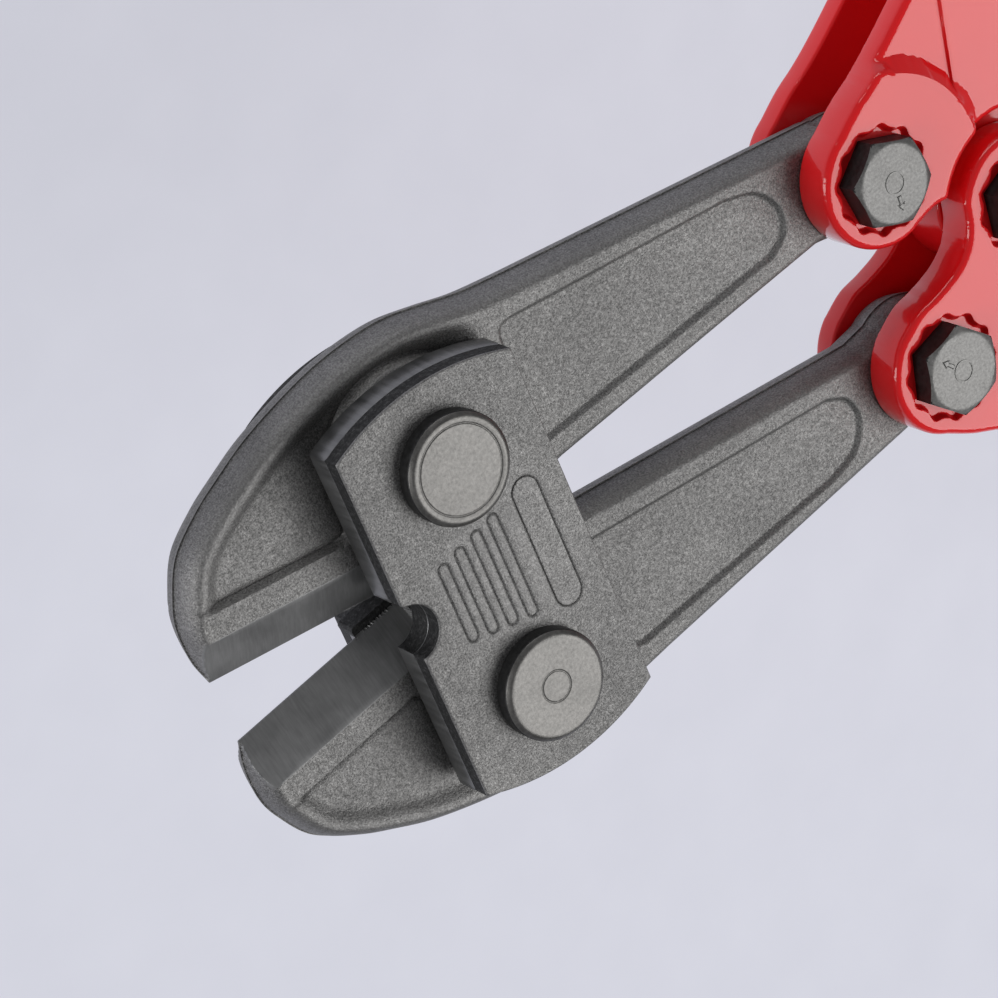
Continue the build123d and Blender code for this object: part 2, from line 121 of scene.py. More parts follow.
# ---- outlines
def spline(points, step=0.8):
    """Smooth open curve through the points (centripetal Catmull-Rom), sampled every step."""
    p = [np.array(q, float) for q in points]
    p = [2 * p[0] - p[1]] + p + [2 * p[-1] - p[-2]]
    out = []
    for a, b, c, d in zip(p, p[1:], p[2:], p[3:]):
        t0 = 0.0
        t1 = t0 + sqrt(np.linalg.norm(b - a))
        t2 = t1 + sqrt(np.linalg.norm(c - b))
        t3 = t2 + sqrt(np.linalg.norm(d - c))
        count = max(2, int(np.linalg.norm(c - b) / step))
        for t in np.linspace(t1, t2, count, endpoint=False):
            ab = (t1 - t) / (t1 - t0) * a + (t - t0) / (t1 - t0) * b
            bc = (t2 - t) / (t2 - t1) * b + (t - t1) / (t2 - t1) * c
            cd = (t3 - t) / (t3 - t2) * c + (t - t2) / (t3 - t2) * d
            low = (t2 - t) / (t2 - t0) * ab + (t - t0) / (t2 - t0) * bc
            high = (t3 - t) / (t3 - t1) * bc + (t - t1) / (t3 - t1) * cd
            out.append((t2 - t) / (t2 - t1) * low + (t - t1) / (t2 - t1) * high)
    out.append(p[-2])
    return np.array(out)


def straight(points, step=0.8):
    """Straight runs through the points, sampled every step."""
    out = []
    for a, b in zip(points, points[1:]):
        a = np.array(a, float)
        b = np.array(b, float)
        count = max(1, int(np.linalg.norm(b - a) / step))
        out += [a + (b - a) * t for t in np.linspace(0, 1, count, endpoint=False)]
    out.append(np.array(points[-1], float))
    return np.array(out)


def arc(centre, radius, start, end, step=0.8):
    """Arc from one angle to another in degrees."""
    count = max(3, int(abs(radians(end - start)) * radius / step))
    turn = np.radians(np.linspace(start, end, count + 1))
    return np.c_[centre[0] + radius * np.cos(turn), centre[1] + radius * np.sin(turn)]


def joined(*runs):
    """Closed outline from runs that each start where the one before ended."""
    return np.concatenate([run[:-1] for run in runs])


def circle(centre, radius, step=0.8):
    return arc(centre, radius, 0, 360, step)[:-1]


def obround(centre, length, width, step=0.5):
    """Slot outline that stands along y."""
    x, y = centre
    r = width / 2
    half = length / 2 - r
    return joined(
        straight([(x + r, y - half), (x + r, y + half)], step),
        arc((x, y + half), r, 0, 180, step),
        straight([(x - r, y + half), (x - r, y - half)], step),
        arc((x, y - half), r, 180, 360, step))


def star(centre, radius, turn):
    """Outline of a twelve-point seat whose points are rounded."""
    a = np.linspace(0, 2 * pi, 192, endpoint=False)
    r = radius - 0.55 + 0.55 * np.cos(12 * a) + 0.12 * np.cos(24 * a)
    a = a + radians(turn)
    return np.c_[centre[0] + r * np.cos(a), centre[1] + r * np.sin(a)]


# ---- distances
def distance(points, line, closed=True):
    """Distance from each point to a polyline."""
    a = line if closed else line[:-1]
    b = np.roll(line, -1, axis=0) if closed else line[1:]
    best = np.full(len(points), 1e9)
    for k in range(0, len(a), 64):
        p0 = a[k:k + 64]
        run = b[k:k + 64] - p0
        size = np.maximum((run**2).sum(1), 1e-12)
        rel = points[:, None, :] - p0[None]
        t = np.clip((rel * run[None]).sum(2) / size[None], 0, 1)
        gap = rel - t[:, :, None] * run[None]
        best = np.minimum(best, np.sqrt((gap**2).sum(2)).min(1))
    return best


def inside(points, loop):
    """True for each point that the loop goes round."""
    x, y = points.T
    hit = np.zeros(len(points), bool)
    for (ax, ay), (bx, by) in zip(loop, np.roll(loop, -1, axis=0)):
        if ay == by:
            continue
        cross = (ay > y) != (by > y)
        hit ^= cross & (x < (bx - ax) * (y - ay) / (by - ay) + ax)
    return hit


def within(points, loop):
    """Distance to the loop, negative outside it."""
    return distance(points, loop) * np.where(inside(points, loop), 1, -1)


def step_up(low, high, value):
    t = np.clip((value - low) / (high - low), 0, 1)
    return t * t * (3 - 2 * t)


def rounded(depth, radius):
    """Height lost to a rounded edge, this far inside the outline."""
    t = np.clip(1 - depth / radius, 0, 1)
    return radius * (1 - np.sqrt(1 - t**2))


# ---- shells
def lattice(low, high, spacing):
    """Points of a triangular grid that fill a box."""
    rows = []
    for k, y in enumerate(np.arange(low[1], high[1], spacing * 0.866)):
        x = np.arange(low[0] + (k % 2) * spacing / 2, high[0], spacing)
        rows.append(np.c_[x, np.full(len(x), y)])
    return np.concatenate(rows)


def shell(loops, rings, features, spacing, top, bottom, patches=()):
    """Closed shell over the area inside the first loop and outside the others.

    Rings are the distances from the loops, and features the (line, offsets, closed) curves, where
    the shell gets extra points.  Patches are (low corner, high corner, spacing) boxes with a finer
    grid.  top and bottom give its heights from the points.
    """
    loops = [np.array(loop) for loop in loops]
    near = max(rings)

    def clear(points):
        """How deep each point lies inside the area."""
        deep = within(points, loops[0])
        for hole in loops[1:]:
            deep = np.minimum(deep, -within(points, hole))
        return deep

    points = []
    edges = []
    for loop in loops:
        first = len(points)
        points += list(loop)
        edges += [(first + k, first + (k + 1) % len(loop)) for k in range(len(loop))]
    extra = []
    for loop in loops:
        normal = np.roll(loop, -1, axis=0) - np.roll(loop, 1, axis=0)
        normal = np.c_[-normal[:, 1], normal[:, 0]] / np.linalg.norm(normal, axis=1)[:, None]
        for gap in rings:
            for side in (1, -1):
                ring = loop + side * gap * normal
                extra.append(ring[abs(clear(ring) - gap) < 0.06 * gap + 0.01])
    for line, gaps, closed in features:
        run = np.roll(line, -1, axis=0) - np.roll(line, 1, axis=0)
        if not closed:
            run[0] = line[1] - line[0]
            run[-1] = line[-1] - line[-2]
        normal = np.c_[-run[:, 1], run[:, 0]] / np.linalg.norm(run, axis=1)[:, None]
        for gap in gaps:
            offset = line + gap * normal
            offset = offset[abs(distance(offset, line, closed) - abs(gap)) < 0.05]
            extra.append(offset[clear(offset) > 0.12])
    grid = lattice(loops[0].min(0), loops[0].max(0), spacing)
    keep = clear(grid) > near + 0.3 * spacing
    for line, gaps, closed in features:
        keep &= distance(grid, line, closed) > max(abs(g) for g in gaps) + 0.3 * spacing
    extra.append(grid[keep])
    for corner, other, fine in patches:
        grid = lattice(np.array(corner), np.array(other), fine)
        keep = clear(grid) > 0.15
        for line, gaps, closed in features:
            keep &= distance(grid, line, closed) > max(abs(g) for g in gaps) + 0.3 * fine
        extra.append(grid[keep])
    points = np.concatenate([np.array(points)] + extra)
    result = delaunay_2d_cdt([Vector(p) for p in points], edges, [], 0, 1e-4)
    flat = np.array([tuple(v) for v in result[0]])
    faces = np.array([f for f in result[2] if len(f) == 3])
    faces = faces[clear(flat[faces].mean(1)) > 0]
    used = np.unique(faces)
    index = np.full(len(flat), -1)
    index[used] = np.arange(len(used))
    flat = flat[used]
    faces = index[faces]
    a, b, c = flat[faces[:, 0]], flat[faces[:, 1]], flat[faces[:, 2]]
    area = (b[:, 0] - a[:, 0]) * (c[:, 1] - a[:, 1]) - (b[:, 1] - a[:, 1]) * (c[:, 0] - a[:, 0])
    faces[area < 0] = faces[area < 0][:, ::-1]
    count = len(flat)
    seen = {}
    for f in faces.tolist():
        for e in ((f[0], f[1]), (f[1], f[2]), (f[2], f[0])):
            seen[e] = True
    walls = [(e[1], e[0], e[0] + count, e[1] + count) for e in seen if (e[1], e[0]) not in seen]
    verts = np.concatenate([np.c_[flat, top(flat)], np.c_[flat, bottom(flat)]])
    polys = faces.tolist() + (faces[:, ::-1] + count).tolist() + walls
    return verts, polys


def spun_faces(rings, segments):
    """Faces of a shape whose rings run between two points on its axis."""
    last = 1 + rings * segments
    polys = [(0, 1 + (k + 1) % segments, 1 + k) for k in range(segments)]
    for low in range(1, last - segments, segments):
        for k in range(segments):
            n = (k + 1) % segments
            polys.append((low + k, low + n, low + segments + n, low + segments + k))
    low = last - segments
    polys += [(last, low + k, low + (k + 1) % segments) for k in range(segments)]
    return polys


def loft_faces(rings, segments):
    """Faces of a shape whose rings run between two flat ends."""
    last = (rings - 1) * segments
    polys = [tuple(range(segments))]
    for low in range(0, last, segments):
        for k in range(segments):
            n = (k + 1) % segments
            polys.append((low + n, low + k, low + segments + k, low + segments + n))
    polys.append(tuple(last + k for k in reversed(range(segments))))
    return polys


def lathe(profile, segments=96):
    """Closed turned shape from (radius, height) points that start and end on the axis."""
    turns = np.linspace(0, 2 * pi, segments, endpoint=False)
    verts = [(0, 0, profile[0][1])]
    for r, z in profile[1:-1]:
        verts += [(r * cos(t), r * sin(t), z) for t in turns]
    verts.append((0, 0, profile[-1][1]))
    return np.array(verts), spun_faces(len(profile) - 2, segments)


def fillet(profile, radius, steps=5):
    """Rounds the inner corners of a lathe profile, one radius for each."""
    out = [profile[0]]
    for k in range(1, len(profile) - 1):
        r = radius[k - 1]
        here = np.array(profile[k], float)
        if r == 0:
            out.append(tuple(here))
            continue
        back = np.array(profile[k - 1], float) - here
        ahead = np.array(profile[k + 1], float) - here
        back /= np.linalg.norm(back)
        ahead /= np.linalg.norm(ahead)
        for t in np.linspace(0, 1, steps + 1):
            out.append(tuple(here + r * ((1 - t)**2 * back + t**2 * ahead)))
    out.append(profile[-1])
    return out


# ---- meshes and placing
def turn_matrix(origin, angle, height=0.0):
    """Local plane's place in the row frame, in millimetres."""
    return Matrix.Translation((origin[0], origin[1], height)) @ Matrix.Rotation(radians(angle), 4, "Z")


def build(name, parts, place, side, body, replaced, materials, sharp=38):
    """One object from (verts, polys, material number) parts, mirrored across y for the lower half."""
    verts = []
    polys = []
    numbers = []
    for part_verts, part_polys, number in parts:
        first = len(verts)
        verts += [tuple(v) for v in part_verts]
        polys += [tuple(first + k for k in poly) for poly in part_polys]
        numbers += [number] * len(part_polys)
    mesh = bpy.data.meshes.new(name)
    placed = [place @ Vector(v) for v in verts]
    placed = [(v.x * MM, side * v.y * MM, v.z * MM) for v in placed]
    if side < 0:
        polys = [poly[::-1] for poly in polys]
    mesh.from_pydata(placed, [], polys)
    for material in materials:
        mesh.materials.append(material)
    mesh.polygons.foreach_set("material_index", numbers)
    mesh.validate()
    mesh.update()
    mesh.shade_smooth()
    mesh.set_sharp_from_angle(angle=radians(sharp))
    piece = bpy.data.objects.new(name, mesh)
    bpy.context.scene.collection.objects.link(piece)
    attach(piece, body)
    if replaced:
        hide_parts(*replaced)
    return piece


def merge(piece):
    """Joins the vertices that lie on each other."""
    mesh = bmesh.new()
    mesh.from_mesh(piece.data)
    bmesh.ops.remove_doubles(mesh, verts=mesh.verts, dist=2e-6)
    mesh.to_mesh(piece.data)
    mesh.free()
    piece.data.shade_smooth()
    piece.data.set_sharp_from_angle(angle=radians(38))


def middles(verts, polys):
    """Middle of each face."""
    return np.array([verts[list(poly)].mean(0) for poly in polys])


def by_material(verts, polys, numbers):
    """One part for each material number that the faces have."""
    return [(verts, [p for p, n in zip(polys, numbers) if n == number], number)
            for number in sorted(set(numbers.tolist()))]


def paint(node, material):
    """Gives a CAD object its material."""
    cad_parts[node].data.materials.clear()
    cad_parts[node].data.materials.append(material)


# ---- materials
def new_material(name):
    """New material with its node tree, its shader and the piece's own coordinates."""
    material = bpy.data.materials.new(name)
    material.use_nodes = True
    tree = material.node_tree
    coords = tree.nodes.new("ShaderNodeTexCoord").outputs["Object"]
    return material, tree, tree.nodes["Principled BSDF"], coords


def noise(tree, coords, scale, detail=4.0, rough=0.6):
    node = tree.nodes.new("ShaderNodeTexNoise")
    node.inputs["Scale"].default_value = scale
    node.inputs["Detail"].default_value = detail
    node.inputs["Roughness"].default_value = rough
    tree.links.new(coords, node.inputs["Vector"])
    return node.outputs["Fac"]


def ramp(tree, value, stops):
    """Colour ramp with (place, colour) stops; a colour is a grey number or an (r, g, b)."""
    node = tree.nodes.new("ShaderNodeValToRGB")
    elements = node.color_ramp.elements
    while len(elements) < len(stops):
        elements.new(0.5)
    for element, (place, colour) in zip(elements, stops):
        element.position = place
        rgb = colour if isinstance(colour, tuple) else (colour,) * 3
        element.color = (*rgb, 1)
    tree.links.new(value, node.inputs["Fac"])
    return node.outputs["Color"]


def plug(tree, socket, value):
    """Gives a socket a constant, or the output that drives it."""
    if isinstance(value, (int, float)):
        socket.default_value = value
    elif isinstance(value, tuple):
        socket.default_value = (*value, 1)
    else:
        tree.links.new(value, socket)


def math(tree, kind, a, b):
    node = tree.nodes.new("ShaderNodeMath")
    node.operation = kind
    plug(tree, node.inputs[0], a)
    plug(tree, node.inputs[1], b)
    return node.outputs[0]


def mix(tree, kind, factor, a, b):
    node = tree.nodes.new("ShaderNodeMix")
    node.data_type = "RGBA"
    node.blend_type = kind
    plug(tree, node.inputs[0], factor)
    plug(tree, node.inputs[6], a)
    plug(tree, node.inputs[7], b)
    return node.outputs[2]


def stretched(tree, coords, scale):
    """The coordinates squeezed along some axes, so that noise on them turns into streaks."""
    node = tree.nodes.new("ShaderNodeMapping")
    node.inputs["Scale"].default_value = scale
    tree.links.new(coords, node.inputs["Vector"])
    return node.outputs["Vector"]


def bump(tree, shader, height, strength, size):
    node = tree.nodes.new("ShaderNodeBump")
    node.inputs["Strength"].default_value = strength
    node.inputs["Distance"].default_value = size
    tree.links.new(height, node.inputs["Height"])
    tree.links.new(node.outputs["Normal"], shader.inputs["Normal"])


def forged_steel():
    """Blasted and blackened forging: salt-and-pepper grain, cloudy scale, rubbed edges that also carry a
    painted highlight.
    """
    material, tree, shader, coords = new_material("forged_steel")
    fine = noise(tree, coords, 2300, 2.0, 0.7)
    grain = noise(tree, coords, 900, 3.0, 0.6)
    cloud = noise(tree, coords, 38, 5.0, 0.6)
    speck = ramp(tree, fine, [(0.34, 0.55), (0.50, 0.95), (0.66, 1.35)])
    base = ramp(tree, cloud, [(0.30, (0.172, 0.169, 0.166)), (0.70, (0.228, 0.224, 0.219))])
    colour = mix(tree, "MULTIPLY", 1.0, base, speck)
    # Convex edges are lightened: partly rubbed wear, partly a painted highlight along rims and crests.
    edge = tree.nodes.new("ShaderNodeNewGeometry").outputs["Pointiness"]
    wear_and_highlight = ramp(tree, edge, [(0.505, 0.0), (0.56, 0.5)])
    colour = mix(tree, "MIX", wear_and_highlight, colour, (0.30, 0.295, 0.29))
    tree.links.new(colour, shader.inputs["Base Color"])
    shader.inputs["Metallic"].default_value = 0.88
    shine = ramp(tree, grain, [(0.25, 0.44), (0.75, 0.66)])
    tree.links.new(shine, shader.inputs["Roughness"])
    height = math(tree, "ADD", fine, math(tree, "MULTIPLY", grain, 0.8))
    bump(tree, shader, height, 0.75, 0.00022)
    return material


def burnished_steel():
    """Sheared lower band of a side plate: smooth, dark, faint upright drag marks."""
    material, tree, shader, coords = new_material("burnished_steel")
    drag = noise(tree, stretched(tree, coords, (1, 1, 0.12)), 620, 3.0, 0.6)
    colour = ramp(tree, drag, [(0.3, 0.15), (0.7, 0.23)])
    tree.links.new(colour, shader.inputs["Base Color"])
    shader.inputs["Metallic"].default_value = 0.8
    shine = ramp(tree, drag, [(0.3, 0.30), (0.7, 0.45)])
    tree.links.new(shine, shader.inputs["Roughness"])
    bump(tree, shader, drag, 0.25, 0.0001)
    return material


def torn_steel_and_shade():
    """Fractured upper band of a sheared plate edge: dark and coarse; also used as painted shade on the
    side plates' notch walls.
    """
    material, tree, shader, coords = new_material("torn_steel_and_shade")
    coarse = noise(tree, coords, 1100, 4.0, 0.75)
    colour = ramp(tree, coarse, [(0.35, 0.012), (0.55, 0.035), (0.72, 0.11)])
    tree.links.new(colour, shader.inputs["Base Color"])
    shader.inputs["Metallic"].default_value = 0.5
    shader.inputs["Roughness"].default_value = 0.68
    bump(tree, shader, coarse, 0.7, 0.0003)
    return material


def ground_bevel():
    """Ground flanks of the cutting edges: smooth dark steel with fine marks across the edge."""
    material, tree, shader, coords = new_material("ground_bevel")
    marks = noise(tree, stretched(tree, coords, (1, 0.1, 0.1)), 1900, 2.0, 0.6)
    cloud = noise(tree, coords, 60, 4.0, 0.6)
    base = ramp(tree, cloud, [(0.3, 0.17), (0.7, 0.27)])
    streak = ramp(tree, marks, [(0.3, 0.9), (0.7, 1.1)])
    tree.links.new(mix(tree, "MULTIPLY", 1.0, base, streak), shader.inputs["Base Color"])
    shader.inputs["Metallic"].default_value = 0.7
    shine = ramp(tree, cloud, [(0.3, 0.46), (0.7, 0.6)])
    tree.links.new(shine, shader.inputs["Roughness"])
    bump(tree, shader, marks, 0.2, 0.00008)
    return material


def spotted_steel(name, scales, tones, specks, metallic, shine, relief):
    """Steel with fine specks over soft clouds, for faced pins and for bolts."""
    material, tree, shader, coords = new_material(name)
    fine = noise(tree, coords, scales[0], 3.0, 0.7)
    cloud = noise(tree, coords, scales[1], 5.0, 0.65)
    base = ramp(tree, cloud, [(0.25, tones[0]), (0.75, tones[1])])
    speck = ramp(tree, fine, [(0.3, specks[0]), (0.7, specks[1])])
    tree.links.new(mix(tree, "MULTIPLY", 1.0, base, speck), shader.inputs["Base Color"])
    shader.inputs["Metallic"].default_value = metallic
    tree.links.new(ramp(tree, cloud, [(0.3, shine[0]), (0.7, shine[1])]), shader.inputs["Roughness"])
    bump(tree, shader, fine, *relief)
    return material


def pin_face():
    """Faced end of a pivot pin: bright and finely grained."""
    return spotted_steel("pin_face", (1300, 130), ((0.118, 0.114, 0.109), (0.190, 0.185, 0.177)),
                         (0.78, 1.2), 0.9, (0.36, 0.52), (0.3, 0.00012))


def bolt_steel():
    """Forged bolt heads and nuts: dull grey with darker spots."""
    return spotted_steel("bolt_steel", (1500, 190), ((0.13, 0.128, 0.124), (0.24, 0.236, 0.228)),
                         (0.7, 1.25), 0.85, (0.42, 0.6), (0.35, 0.00014))


def dark_steel():
    """Oxide-black flanks of pins and bolts."""
    material, tree, shader, coords = new_material("dark_steel")
    fine = noise(tree, coords, 900, 4.0, 0.7)
    colour = ramp(tree, fine, [(0.3, 0.018), (0.7, 0.045)])
    tree.links.new(colour, shader.inputs["Base Color"])
    shader.inputs["Metallic"].default_value = 0.6
    shine = ramp(tree, fine, [(0.3, 0.36), (0.7, 0.55)])
    tree.links.new(shine, shader.inputs["Roughness"])
    bump(tree, shader, fine, 0.3, 0.0001)
    return material


def red_lacquer():
    """Glossy red lacquer, with the slight waviness of a dipped coat."""
    material, tree, shader, coords = new_material("red_lacquer")
    wave = noise(tree, coords, 120, 2.0, 0.5)
    tone = noise(tree, coords, 25, 3.0, 0.5)
    colour = ramp(tree, tone, [(0.3, (0.72, 0.007, 0.010)), (0.7, (0.78, 0.010, 0.013))])
    tree.links.new(colour, shader.inputs["Base Color"])
    shader.inputs["Roughness"].default_value = 0.32
    shader.inputs["Specular IOR Level"].default_value = 0.1
    shader.inputs["Coat Weight"].default_value = 1.0
    shader.inputs["Coat Roughness"].default_value = 0.04
    shader.inputs["Coat IOR"].default_value = 1.47
    bump(tree, shader, wave, 0.12, 0.0003)
    return material


def moulding(name, low, high, rough, scale=900):
    """Moulded plastic or rubber with a fine spark-eroded grain."""
    material, tree, shader, coords = new_material(name)
    grain = noise(tree, coords, scale, 3.0, 0.6)
    tone = noise(tree, coords, 30, 3.0, 0.5)
    tree.links.new(ramp(tree, tone, [(0.3, low), (0.7, high)]), shader.inputs["Base Color"])
    shine = ramp(tree, grain, [(0.3, rough - 0.08), (0.7, rough + 0.08)])
    tree.links.new(shine, shader.inputs["Roughness"])
    bump(tree, shader, grain, 0.35, 0.0002)
    return material


FORGED = forged_steel()
BURNISHED = burnished_steel()
TORN_AND_SHADE = torn_steel_and_shade()
BEVELLED = ground_bevel()
PIN_FACE = pin_face()
DARK = dark_steel()
BOLT = bolt_steel()
RED = red_lacquer()
SLEEVE = moulding("grip_sleeve", (0.016, 0.016, 0.018), (0.026, 0.026, 0.029), 0.62)
CORE = moulding("grip_core", (0.50, 0.010, 0.012), (0.58, 0.015, 0.016), 0.42)
CAP = moulding("end_cap", (0.018, 0.018, 0.020), (0.030, 0.030, 0.033), 0.5)
RUBBER = moulding("stop_rubber", (0.02, 0.02, 0.02), (0.035, 0.035, 0.035), 0.7)
BRONZE = moulding("bearing_bronze", (0.42, 0.25, 0.10), (0.52, 0.33, 0.15), 0.35)
BRONZE.node_tree.nodes["Principled BSDF"].inputs["Metallic"].default_value = 0.95


# ---- blades
def blade_back():
    """Blade's outline from the jaw's tip round the nose and along the back to the tang."""
    front = spline([(-JAW_REACH, edge_y), (-61.9, -22.0), (-62.8, -13.0), (-61.4, -6.8),
                    (-57.8, 1.3), (-50.0, 8.6), (-43.3, 13.1), (-34.3, 18.4), (-17.5, 25.2),
                    (-6.9, 27.8), (3.5, 28.9), (13.0, 28.0), (23.0, 26.6), (34.0, 26.2)])
    return np.concatenate([front[:-1], straight([(34.0, 26.2), (tang_x - 3, tang_y + 14.4)])])


def blade_lines(tooth):
    """Blade's outline, and the part of it that is not the ground edge."""
    back = blade_back()
    end = arc((tang_x, tang_y), 14.4, 102, -114)
    under = straight([tuple(end[-1]), (111.0, -1.2), (34.0, -18.6)])
    heel = spline([(34.0, -18.6), (12.0, -25.2), (-6.0, -27.0)])
    root = [(-6.0, -27.0), (-12.5, edge_y), (tooth_x, edge_y)]
    if tooth:
        crown = edge_y - TOOTH
        root[2:2] = [(-14.0, crown), (tooth_x + 0.6, crown), (tooth_x, crown + 0.6),
                     (tooth_x, edge_y - 0.16)]
    root = straight(root)
    edge = straight([tuple(root[-1]), (-JAW_REACH, edge_y)])
    body = np.concatenate([back[:-1], end[:-1], under[:-1], heel[:-1], root])
    return np.concatenate([body, edge[1:-1]]), body, back


PANEL = joined(
    straight([(29.5, -11.6), (26.5, 15.2)]),
    spline([(26.5, 15.2), (27.3, 17.7), (30.0, 18.6)]),
    straight([(30.0, 18.6), (89.5, 20.4)]),
    spline([(89.5, 20.4), (97.9, 18.5), (102.7, 12.8), (102.2, 6.6), (97.6, 3.0)]),
    straight([(97.6, 3.0), (29.5, -11.6)]))
FILLET_R = 5.0
LAND_R = 21.3
HEEL_END = -12.6
FLASH = 0.4
DRAFT = 3.9
fillet_y = strip_y + FILLET_R
fillet_x = -sqrt((LAND_R + FILLET_R)**2 - fillet_y**2)
fillet_end = degrees(atan2(-fillet_y, -fillet_x))
LAND = np.concatenate([
    straight([(-JAW_REACH - 0.5, strip_y), (fillet_x, fillet_y - FILLET_R)])[:-1],
    arc((fillet_x, fillet_y), FILLET_R, -90, fillet_end)[:-1],
    arc((0, 0), LAND_R, 180 + fillet_end, 40),
])


def blade_height(body, back):
    """Half-thickness of the blade at each point, apart from its heel tooth and pocket."""
    def height(points):
        x, y = points.T
        over = y + PIVOT_OFFSET
        strip = over - BEVEL - STRIP
        rear = distance(points, back, closed=False)
        outline = distance(points, body, closed=False)
        web = WEB_HALF + 0.5 - 0.25 * (1 - step_up(0.5, 3.0, strip))
        rim = WEB_HALF + (RIM_HALF + 0.15 - WEB_HALF) * (1 - step_up(3.9, 9.4, rear))
        jaw = np.maximum(web, rim)
        hub = np.hypot(x, y) - LAND_R
        corner = FILLET_R - np.hypot(FILLET_R - strip, FILLET_R - hub)
        beyond = np.where((strip < FILLET_R) & (hub < FILLET_R), corner, np.minimum(strip, hub))
        land = RIM_HALF + (HUB_HALF - RIM_HALF) * (1 - step_up(-1.2, 0.2, hub))
        jaw = jaw + np.maximum(land - jaw, 0) * (1 - step_up(-0.5, 0.7, beyond))
        jaw = jaw - 0.35 * np.exp(-((beyond - 0.75) / 0.4)**2) * (hub > -1)
        panel = within(points, PANEL)
        tang = TANG_HALF - 1.1 * step_up(-0.7, 0.8, panel) + 0.15 * step_up(1.0, 4.0, panel)
        half = jaw + (tang - jaw) * step_up(15, 24, x)
        t = np.clip(1 - (outline - FLASH) / DRAFT, 0, 1)
        side = 0.22 + half * np.clip(1 - t**2.3, 0, 1)**0.6
        half = np.minimum(half, side)
        ground = 0.12 + over * RIM_HALF / BEVEL
        half = np.where((x < HEEL_END) & (over < BEVEL * 1.4), np.minimum(half, ground), half)
        return np.maximum(half, 0.02)
    return height


def make_blade(name, side, body_name, tooth):
    outline, body, back = blade_lines(tooth)
    height = blade_height(body, back)
    bores = [circle((0, 0), PIN_R + 0.05), circle((tang_x, tang_y), CAM_R + 0.05)]
    crest = straight([(-JAW_REACH - 2, BEVEL - PIVOT_OFFSET), (-20, BEVEL - PIVOT_OFFSET)], 0.7)
    features = [
        (crest, (-0.25, 0, 0.25), False),
        (LAND, (-1.2, -0.7, -0.35, 0, 0.35, 0.7, 1.2), False),
        (PANEL, (-0.9, -0.55, -0.2, 0.2, 0.55, 0.9), True),
    ]
    rings = (0.1, 0.35, 0.45, 0.6, 0.9, 1.4, 2.0, 2.8, 3.6, 4.4, 5.2)
    nose = ((-63.5, -29), (-54.5, -9), 0.35)
    heel = ((-27, -33), (-4, -22), 0.4)

    def stands(points):
        """Where the tooth rises past the cutting edge."""
        return tooth & (points[:, 1] < -PIVOT_OFFSET + 0.02) & (points[:, 0] < HEEL_END)

    def top(points):
        return np.where(stands(points), -0.35, height(points))

    def bottom(points):
        """The tooth fills the lower blade's far half, and the upper blade has a pocket for it."""
        x, y = points.T
        if tooth:
            return np.where(stands(points), -RIM_HALF + 0.4, -height(points))
        pocket = (y < -PIVOT_OFFSET + TOOTH + 0.9) & (x > -EDGE_ROOT - 6.0) & (x < -11.0)
        return np.where(pocket, -0.02, -height(points))

    verts, polys = shell([outline] + bores, rings, features, 1.25, top, bottom, (nose, heel))
    x, y, z = middles(verts, polys).T
    over = y + PIVOT_OFFSET
    flank = (over < BEVEL + 0.05) & (x < HEEL_END) & (abs(z) > (over - 1) * RIM_HALF / BEVEL)
    stop = over < EDGE_GAP - 0.05
    parts = by_material(verts, polys, np.where(stop, 2, flank))
    place = turn_matrix((pivot_x, PIVOT_OFFSET), -JAW_ANGLE, MID)
    merge(build(name + "_forging", parts, place, side, body_name, [name],
                [FORGED, BEVELLED, TORN_AND_SHADE]))


make_blade("upper_blade", UPPER, "upper_jaw", tooth=False)
make_blade("lower_blade", LOWER, "lower_jaw", tooth=True)


# ---- side plates
def plate_outline(inset=0.0):
    """Straight sides with the jaw notch on one, domed ends."""
    w = PLATE_HALF - inset
    c = 43.6 - inset * 0.6
    crown = 48.8 - inset
    r = (w**2 + (crown - c)**2) / (2 * (crown - c))
    half = degrees(asin(w / r))
    notch = PLATE_NOTCH_R + inset
    mouth = sqrt(notch**2 - inset**2)
    return joined(
        arc((0, crown - r), r, 90 - half, 90 + half),
        straight([(-w, c), (-w, mouth)]),
        arc((-w - inset, 0), notch, 90, -90)[1:],
        straight([(-w, -mouth), (-w, -c)]),
        arc((0, r - crown), r, 270 - half, 270 + half),
        straight([(w, -c), (w, c)]))


GROOVES = [obround((-11.2 + 5.0 * k, 0), 20 + 2.2 * k, 2.6, 0.35) for k in range(4)]
GROOVES.append(obround((13.5, 0), 33, 6.8, 0.35))


